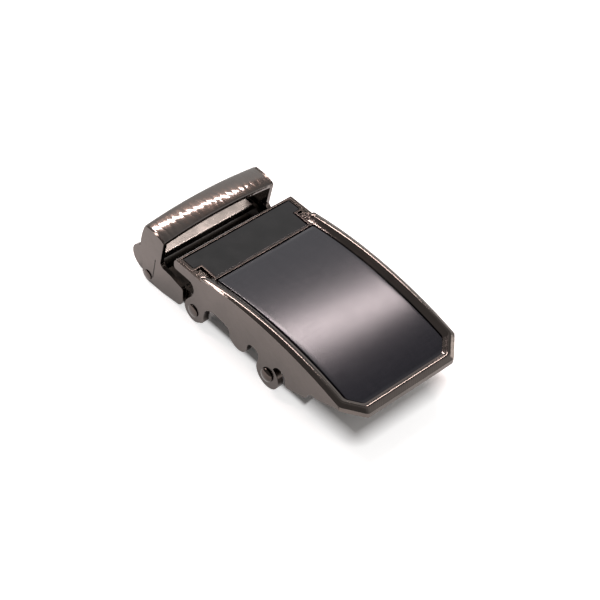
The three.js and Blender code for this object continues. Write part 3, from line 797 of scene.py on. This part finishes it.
def build_lever():
    """The release lever: a bar riveted to the pawl's flange, with a ribbed finger pad at its end."""
    bar_shape = Outline(11.0, 3.9).line(12.4, 3.9).line(12.5, 5.0)
    bar_shape.line(12.4, 6.1).line(11.0, 6.1).line(10.9, 5.0)
    bar = prism("lever_bar", bar_shape.clean(), 6.0, 22.0, 0.25, 3)
    pad_shape = Outline(9.6, 3.9).line(13.2, 3.9).curve(14.2, 5.2, 13.2, 6.6, 12)
    pad_shape.line(9.6, 6.6).curve(8.6, 5.2, 9.6, 3.9, 12)
    pad = prism("lever_pad", pad_shape.clean(), 21.4, 24.9, 0.5, 4)
    rib_shape = Outline(9.9, 6.4).line(12.9, 6.4).line(12.7, 6.62).line(10.1, 6.62)
    first_rib, rib_pitch, rib_half = 22.1, 0.7, 0.14
    ribs = []
    for i in range(4):
        y = first_rib + i * rib_pitch
        ribs.append(prism(f"lever_rib_{i}", rib_shape.clean(), y - rib_half, y + rib_half, 0.08, 2))
    return join("lever_body", bar, pad, *ribs)


def build_lever_rivet(name, y):
    """A rivet along X through the lever's bar into the pawl's flange, with a domed head."""
    head, head_start, dome, height = 0.95, 12.7, 0.4, 5.0
    profile = [(0.02, 8.4), (0.42, 8.4), (0.45, 8.5), (0.45, 12.62), (0.9, 12.62), (head, head_start)]
    for k in range(1, 9):
        t = k / 8 * math.pi / 2
        profile.append((head * math.cos(t) + 0.01, head_start + dome * math.sin(t)))
    angles = [2 * math.pi * i / 32 for i in range(32)]
    rings = []
    for radius, x in profile:
        rings.append([(x, y + radius * math.cos(a), height + radius * math.sin(a)) for a in angles])
    return loft(name, rings, sharp_degrees=40.0)


# ---------------------------------------------------------------- keeper loop
LOOP_OUTER = 19.2
LOOP_INNER = 17.9
LOOP_CROWN = 1.4  # rise of the top bar's middle over its ends
BAR_HALF = 18.75


def cheek_outline():
    """A cheek in side view: a low arm towards the face and a tall part under the top bar."""
    shape = Outline(-46.4, 2.3)
    shape.line(-46.3, 3.6).curve(-45.7, 8.4, -46.9, 11.0, 10)
    shape.curve(-46.6, 14.4, -45.6, 17.2, 10).line(-44.9, 19.1).curve(-44.6, 20.0, -43.6, 20.1, 8)
    shape.curve(-40.6, 20.25, -38.9, 19.75, 8).line(-37.2, 19.25).curve(-36.6, 19.05, -36.6, 18.5, 5)
    shape.line(-38.2, 11.2).curve(-38.4, 9.75, -37.2, 9.6, 8).line(-34.0, 9.35).line(-29.5, 8.42)
    shape.curve(-28.8, 8.2, -28.75, 7.5, 5).line(-28.7, 4.0).curve(-29.1, 1.5, -31.4, 0.9, 10)
    shape.line(-37.5, 0.2).line(-43.9, 0.05)
    shape.arc(CLIP_AXIS["x"], CLIP_AXIS["z"], CLIP_AXIS["z"] - 0.05, -92, -178, 16)
    return shape.clean()


def crown(y):
    """The top bar's rise at y."""
    return LOOP_CROWN * max(0.0, 1 - (y / 18.8) ** 2)


def build_top_bar():
    """The loop's crowned top bar."""
    section = Outline(-45.1, 19.1).line(-44.97, 19.55).line(-44.6, 19.87).line(-44.0, 20.0)
    section.line(-43.0, 20.07).line(-42.0, 20.08).line(-41.0, 20.05).line(-40.2, 19.98)
    section.line(-39.6, 19.88).line(-38.9, 19.72).line(-38.0, 19.46).line(-37.1, 19.17)
    section.line(-36.85, 19.07).line(-36.7, 18.95).line(-36.66, 18.8).line(-36.66, 18.0)
    section.line(-36.85, 17.95).line(-40.0, 18.4).line(-44.4, 18.5).line(-44.95, 18.75)
    steps = 60
    rings = []
    for i in range(steps + 1):
        y = -BAR_HALF + 2 * BAR_HALF * i / steps
        rings.append([(x, y, z + crown(y)) for x, z in section.clean()])
    return loft("loop_bar", rings, sharp_degrees=48.0)


def build_cheeks():
    """The loop's two cheeks, rounded along their edges."""
    outline = cheek_outline()
    bevel = 0.38
    near = prism("cheek_near", outline, -LOOP_OUTER, -LOOP_INNER, bevel, 4)
    far = prism("cheek_far", outline, LOOP_INNER, LOOP_OUTER, bevel, 4)
    return join("loop_cheeks", near, far)


def build_seam_shade_strips():
    """The narrow seam pressed into the outside of each cheek, drawn as a thin near-black inlay that paints
    the shade inside the seam.
    """
    points = [(-40.2, 10.4), (-41.65, 2.8), (-41.95, 2.85), (-40.5, 10.45)]
    seams = []
    for side in (-1, 1):
        y0, y1 = sorted((side * (LOOP_OUTER - 0.3), side * (LOOP_OUTER + 0.02)))
        seams.append(prism(f"seam_{side}", points, y0, y1, 0.0))
    return join("cheek_seam_shade", *seams)


# ---------------------------------------------------------------- clamp channel and clip
BRIDGE = {"start": -46.5, "end": -42.3, "bottom": 7.5, "top": 8.7}
CHANNEL_OUTER = 17.6
CHANNEL_INNER = 16.6
INSIDE_HALF = 17.4  # pieces that cross the channel end inside its walls' thickness


def channel_outline():
    """A channel wall in side view: the hinge lug at its front and the round lobe at its rear."""
    shape = Outline(-48.1, 8.8)
    shape.line(BRIDGE["start"], BRIDGE["top"]).line(BRIDGE["end"] + 0.5, BRIDGE["top"])
    shape.curve(-40.9, 8.7, -40.3, 8.0, 6).curve(-39.6, 7.2, -38.6, 7.18, 6).line(-30.4, 7.0)
    shape.line(HINGE["x"] - 0.4, HINGE["z"] + 3.2)
    shape.arc(HINGE["x"], HINGE["z"], 3.2, 92, -90, 30)
    shape.line(-30.5, 1.0).line(-36.0, 0.6).line(-44.5, 0.4).line(-48.1, 0.2)
    shape.arc(-48.2, 4.5, 4.3, -90, -270, 36)
    return shape.clean()


def build_channel():
    """The channel's two walls, with a short flange turned in from each and a tie across the front."""
    outline = channel_outline()
    near = prism("channel_near", outline, -CHANNEL_OUTER, -CHANNEL_INNER, 0.2, 3)
    far = prism("channel_far", outline, CHANNEL_INNER, CHANNEL_OUTER, 0.2, 3)
    flange_shape = Outline(-38.4, 6.2).line(-30.6, 6.2).line(-30.6, 6.9).line(-38.4, 7.0)
    flange_edge = 14.8
    flanges = []
    for side in (-1, 1):
        y0, y1 = sorted((side * flange_edge, side * INSIDE_HALF))
        flanges.append(prism(f"flange_{side}", flange_shape.clean(), y0, y1, 0.15, 2))
    tie_shape = Outline(-32.6, 1.1).line(-30.2, 1.1).line(-30.2, 2.3).line(-32.6, 2.3)
    tie = prism("channel_tie", tie_shape.clean(), -INSIDE_HALF, INSIDE_HALF, 0.12, 2)
    return join("channel_body", near, far, tie, *flanges)


def paint_shade_on_arm_tops(piece):
    """Paints shade on the upper edges of the cheeks' front arms: their upward faces get the near-black
    material.
    """
    piece.data.materials.append(SHADE_BLACK_STEEL)
    arm_start = place(-36.5, 0.0, 0.0).x
    arm_top = place(0.0, 0.0, 10.5).z
    for polygon in piece.data.polygons:
        if polygon.center.x > arm_start and polygon.center.z < arm_top and polygon.normal.z > 0.8:
            polygon.material_index = 1


def paint_shade_in_channel(piece):
    """Paints shade on the channel: its faces get the near-black material, except its rear lobes and its outer
    sides.
    """
    piece.data.materials.append(SHADE_BLACK_STEEL)
    lobe_end = place(-46.0, 0.0, 0.0).x
    middle = place(0.0, CLAMP_SIDE_SHIFT, 0.0).y
    for polygon in piece.data.polygons:
        outside = polygon.normal.y * (polygon.center.y - middle) > 0 and abs(polygon.normal.y) > 0.5
        near_wall = abs(polygon.center.y - middle) > (CHANNEL_OUTER - 0.3) * MM
        if polygon.center.x > lobe_end and not (outside and near_wall):
            polygon.material_index = 1


def build_bridge():
    """The polished strip across the channel, seen through the keeper loop."""
    start, end, bottom, top = (BRIDGE[key] for key in ("start", "end", "bottom", "top"))
    lip_thick, lip_drop, corner = 0.6, 0.7, 0.3
    shape = Outline(start, bottom).line(end - lip_thick, bottom).line(end - lip_thick, bottom - lip_drop)
    shape.line(end, bottom - lip_drop).line(end, top - corner).curve(end, top, end - corner, top, 4)
    shape.line(start + corner, top).curve(start, top, start, top - corner, 4)
    return prism("channel_bridge", shape.clean(), -INSIDE_HALF, INSIDE_HALF, 0.0)


def build_clip():
    """The strap clip: a hub on its pin, a plate with a lip and two rows of teeth."""
    half = 16.3
    hub = hub_round("clip_hub", CLIP_AXIS, 1.75, 1.1, half)
    low, high = 0.55, 1.75
    plate_shape = Outline(CLIP_AXIS["x"], low).line(-33.3, low).curve(-33.0, low, -33.0, low + 0.3, 4)
    plate_shape.line(-33.0, high - 0.3).curve(-33.0, high, -33.3, high, 4).line(CLIP_AXIS["x"], high)
    sheet = prism("clip_sheet", plate_shape.clean(), -half, half, 0.2, 3)
    lip_shape = Outline(-34.0, 1.2).line(-33.0, 1.2).line(-33.0, 2.4).curve(-33.5, 2.8, -34.0, 2.4, 5)
    lip = prism("clip_lip", lip_shape.clean(), -6.0, 6.0, 0.15, 2)
    bite = [(CLIP_AXIS["x"] + 0.3, 2.6), (CLIP_AXIS["x"] + 2.6, 1.6), (CLIP_AXIS["x"] + 1.9, 4.9)]
    grip = [(-39.6, 1.5), (-37.6, 1.5), (-38.2, 3.3)]
    tooth_count, tooth_half, margin = 11, 0.9, 1
    pitch = 2 * (half - margin) / (tooth_count - 1)
    teeth = []
    for i in range(tooth_count):
        y = -half + margin + i * pitch
        teeth.append(prism(f"bite_{i}", bite, y - tooth_half, y + tooth_half, 0.08, 2))
        if i % 2 == 1:
            teeth.append(prism(f"grip_{i}", grip, y - tooth_half, y + tooth_half, 0.08, 2))
    return join("clip_body", hub, sheet, lip, *teeth)


# ---------------------------------------------------------------- building the buckle
FRAME_PIECES = (
    (build_rim, POLISHED), (build_ridge_ends, POLISHED), (build_web, GUNMETAL), (build_walls, GUNMETAL),
    (build_tail_deck, GUNMETAL), (build_divider, GUNMETAL), (build_grain_patches, GRAIN),
    (build_spring_boss, GUNMETAL),
)
for build, material in FRAME_PIECES:
    install(build(), "face", "gunmetal", material, "face_frame")
install(build_main_panel(), "face", "brushed_panel", BRUSHED, "main_panel")
install(build_tail_panel(), "face", "enamel_panel", LACQUER, "tail_panel")
install(build_pin("hinge_pin_body", HINGE, 1.0, 1.9, HALF, 0.55), "face", "steel", GUNMETAL, "hinge_pin")
install(build_pin("pawl_pin_body", PAWL_AXIS, 1.1, 2.1, HALF, 1.1), "face", "steel", GUNMETAL, "pawl_pin")
for side, node in ((-1, "pawl_spring_near"), (1, "pawl_spring_far")):
    coil, leg = build_spring(side)
    install(coil, "face", "spring_steel", SPRING, node)
    install(leg, "pawl_assembly", "spring_steel", SPRING, node)
install(build_pawl(), "pawl_assembly", "steel", STEEL, "pawl")
install(build_lever(), "pawl_assembly", "gunmetal", GUNMETAL, "release_lever")
install(build_lever_rivet("rivet_inner", 8.0), "pawl_assembly", "steel", STEEL, "lever_rivet_inner")
install(build_lever_rivet("rivet_outer", 12.0), "pawl_assembly", "steel", STEEL, "lever_rivet_outer")
install(build_top_bar(), "clamp", "gunmetal", BAR_METAL, "keeper_loop")
paint_shade_on_arm_tops(install(build_cheeks(), "clamp", "gunmetal", GUNMETAL, "keeper_loop"))
install(build_seam_shade_strips(), "clamp", "gunmetal", SHADE_BLACK_STEEL, "keeper_loop")
paint_shade_in_channel(install(build_channel(), "clamp", "gunmetal", GUNMETAL, "clamp_channel"))
install(build_bridge(), "clamp", "gunmetal", STEEL, "clamp_channel")
clip_pin = build_pin("clip_pin_body", CLIP_AXIS, 0.8, 1.5, LOOP_OUTER, 0.35)
install(clip_pin, "clamp", "steel", GUNMETAL, "clip_pin")
install(build_clip(), "clip", "steel", SHADE_BLACK_STEEL, "strap_clip")
for name in ("main_panel_tape", "tail_panel_tape"):
    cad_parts[name].data.materials.clear()
    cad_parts[name].data.materials.append(TAPE)


# ---------------------------------------------------------------- floor, light and camera
FLOOR_HALF = 3.0  # metres
FLOOR_GLOW = 0.66
# Two boxes under the buckle where the floor doesn't glow, which paints the buckle's shadow on the floor, in
# metres: half length, half width and the distance over which the glow comes back.
PAINTED_SHADOW_BOXES = ((0.0395, 0.0145, 0.0055), (0.024, 0.0180, 0.0014))


def build_floor():
    """A pale floor that glows a little, except close under the buckle, where the missing glow paints a
    shadow.
    """
    builder = bmesh.new()
    signs = ((-1, -1), (1, -1), (1, 1), (-1, 1))
    corners = [builder.verts.new((x * FLOOR_HALF, y * FLOOR_HALF, 0.0)) for x, y in signs]
    builder.faces.new(corners)
    mesh = bpy.data.meshes.new("floor")
    builder.to_mesh(mesh)
    builder.free()
    floor = bpy.data.objects.new("floor", mesh)
    bpy.context.scene.collection.objects.link(floor)
    nodes = Nodes("pale_floor")
    paper = nodes.noise(nodes.place, 40.0, 4.0)
    tones = ((0.2, (0.90, 0.90, 0.90)), (0.8, (0.93, 0.93, 0.93)))
    nodes.feed("Base Color", nodes.ramp(paper, tones))
    nodes.set("Roughness", 0.7)
    nodes.set("Specular IOR Level", 0.0)
    nodes.set("Emission Color", (1.0, 1.0, 1.0, 1.0))
    offset = nodes.add("ShaderNodeVectorMath")
    offset.operation = "ABSOLUTE"
    nodes.link(nodes.place, offset.inputs[0])
    least = nodes.add("ShaderNodeMath")
    least.operation = "MINIMUM"
    for socket, (half_length, half_width, fade) in enumerate(PAINTED_SHADOW_BOXES):
        beyond = nodes.add("ShaderNodeVectorMath")
        beyond.operation = "SUBTRACT"
        beyond.inputs[1].default_value = (half_length, half_width, 0.0)
        nodes.link(offset.outputs["Vector"], beyond.inputs[0])
        outside = nodes.add("ShaderNodeVectorMath")
        outside.operation = "MAXIMUM"
        nodes.link(beyond.outputs["Vector"], outside.inputs[0])
        distance = nodes.add("ShaderNodeVectorMath")
        distance.operation = "LENGTH"
        nodes.link(outside.outputs["Vector"], distance.inputs[0])
        glow = nodes.span(distance.outputs["Value"], 0.0, fade, 0.0, FLOOR_GLOW)
        nodes.link(glow, least.inputs[socket])
    nodes.feed("Emission Strength", least.outputs["Value"])
    floor.data.materials.append(nodes.material)


def soft_box(name, direction, distance, size, watts, colour, along):
    """A rectangular light that looks at the buckle from a direction, its long side along another."""
    light = bpy.data.lights.new(name, "AREA")
    light.shape = "RECTANGLE"
    light.size, light.size_y = size
    light.energy = watts
    light.color = colour
    lamp = bpy.data.objects.new(name, light)
    bpy.context.scene.collection.objects.link(lamp)
    ahead = Vector(direction).normalized()
    long_side = (Vector(along) - ahead * Vector(along).dot(ahead)).normalized()
    lamp.matrix_world = Matrix.Translation(ahead * distance) @ Matrix(
        (long_side.cross(ahead), long_side, ahead)
    ).transposed().to_4x4()


def build_light():
    """A long strip high behind the tail, a soft box beyond the far side and an uneven sky.

    The sky is brightest low on the far side and darkens towards the near side and overhead. A small
    patch high on the far side is darker too.
    """
    world = bpy.data.worlds.new("studio")
    world.use_nodes = True
    tree = world.node_tree
    background = tree.nodes["Background"]
    heading = tree.nodes.new("ShaderNodeTexCoord")
    facing = tree.nodes.new("ShaderNodeVectorMath")
    facing.operation = "DOT_PRODUCT"
    facing.inputs[1].default_value = (-0.1, 0.85, -0.5)
    tree.links.new(heading.outputs["Generated"], facing.inputs[0])
    sky = tree.nodes.new("ShaderNodeValToRGB")
    sky.color_ramp.elements[0].position = 0.25
    sky.color_ramp.elements[0].color = (0.26, 0.25, 0.245, 1.0)
    sky.color_ramp.elements[1].position = 0.6
    sky.color_ramp.elements[1].color = (0.95, 0.94, 0.93, 1.0)
    half = tree.nodes.new("ShaderNodeMapRange")
    half.inputs["From Min"].default_value = -1.0
    tree.links.new(facing.outputs["Value"], half.inputs["Value"])
    tree.links.new(half.outputs["Result"], sky.inputs["Fac"])
    tree.links.new(sky.outputs["Color"], background.inputs["Color"])
    beside = tree.nodes.new("ShaderNodeVectorMath")
    beside.operation = "DOT_PRODUCT"
    beside.inputs[1].default_value = (-0.03, 0.62, 0.785)
    tree.links.new(heading.outputs["Generated"], beside.inputs[0])
    shade = tree.nodes.new("ShaderNodeMapRange")
    for key, number in (("From Min", 0.93), ("From Max", 0.975), ("To Min", 1.0), ("To Max", 0.38)):
        shade.inputs[key].default_value = number
    tree.links.new(beside.outputs["Value"], shade.inputs["Value"])
    tree.links.new(shade.outputs["Result"], background.inputs["Strength"])
    bpy.context.scene.world = world
    soft_box(
        "far_fill", direction=(0.45, 0.85, 0.28), distance=0.9, size=(0.35, 0.35), watts=1.1,
        colour=(1.0, 0.93, 0.88), along=(0.0, 0.0, 1.0),
    )
    soft_box(
        "strip", direction=(-0.533, 0.20, 0.77), distance=0.9, size=(0.09, 1.02), watts=9.2,
        colour=(1.0, 0.855, 0.83), along=(0.707, 0.707, 0.0),
    )


CAMERA_TURN = (46.96, 44.89, 2.63)  # azimuth, elevation and roll in degrees
CAMERA_SPOT = (251.97, -238.97, 359.73)


def build_camera():
    """A long lens that looks down on the face from its tip and near side."""
    camera = bpy.data.cameras.new("camera")
    camera.sensor_width = 36.0
    camera.lens = 112.7
    camera.clip_start = 0.01
    camera.clip_end = 10.0
    camera.dof.use_dof = False
    view = bpy.data.objects.new("camera", camera)
    bpy.context.scene.collection.objects.link(view)
    azimuth, elevation, roll = (math.radians(angle) for angle in CAMERA_TURN)
    level = Vector((math.cos(azimuth), math.sin(azimuth), 0.0))
    sideways = math.cos(elevation)
    back = Vector((math.sin(azimuth) * sideways, -math.cos(azimuth) * sideways, math.sin(elevation)))
    upright = back.cross(level)
    right = level * math.cos(roll) + upright * math.sin(roll)
    up = upright * math.cos(roll) - level * math.sin(roll)
    turn = Matrix((right, up, back)).transposed().to_4x4()
    view.matrix_world = Matrix.Translation(place(*CAMERA_SPOT)) @ turn
    bpy.context.scene.camera = view


build_floor()
build_light()
build_camera()
bpy.context.scene.view_settings.view_transform = "Standard"
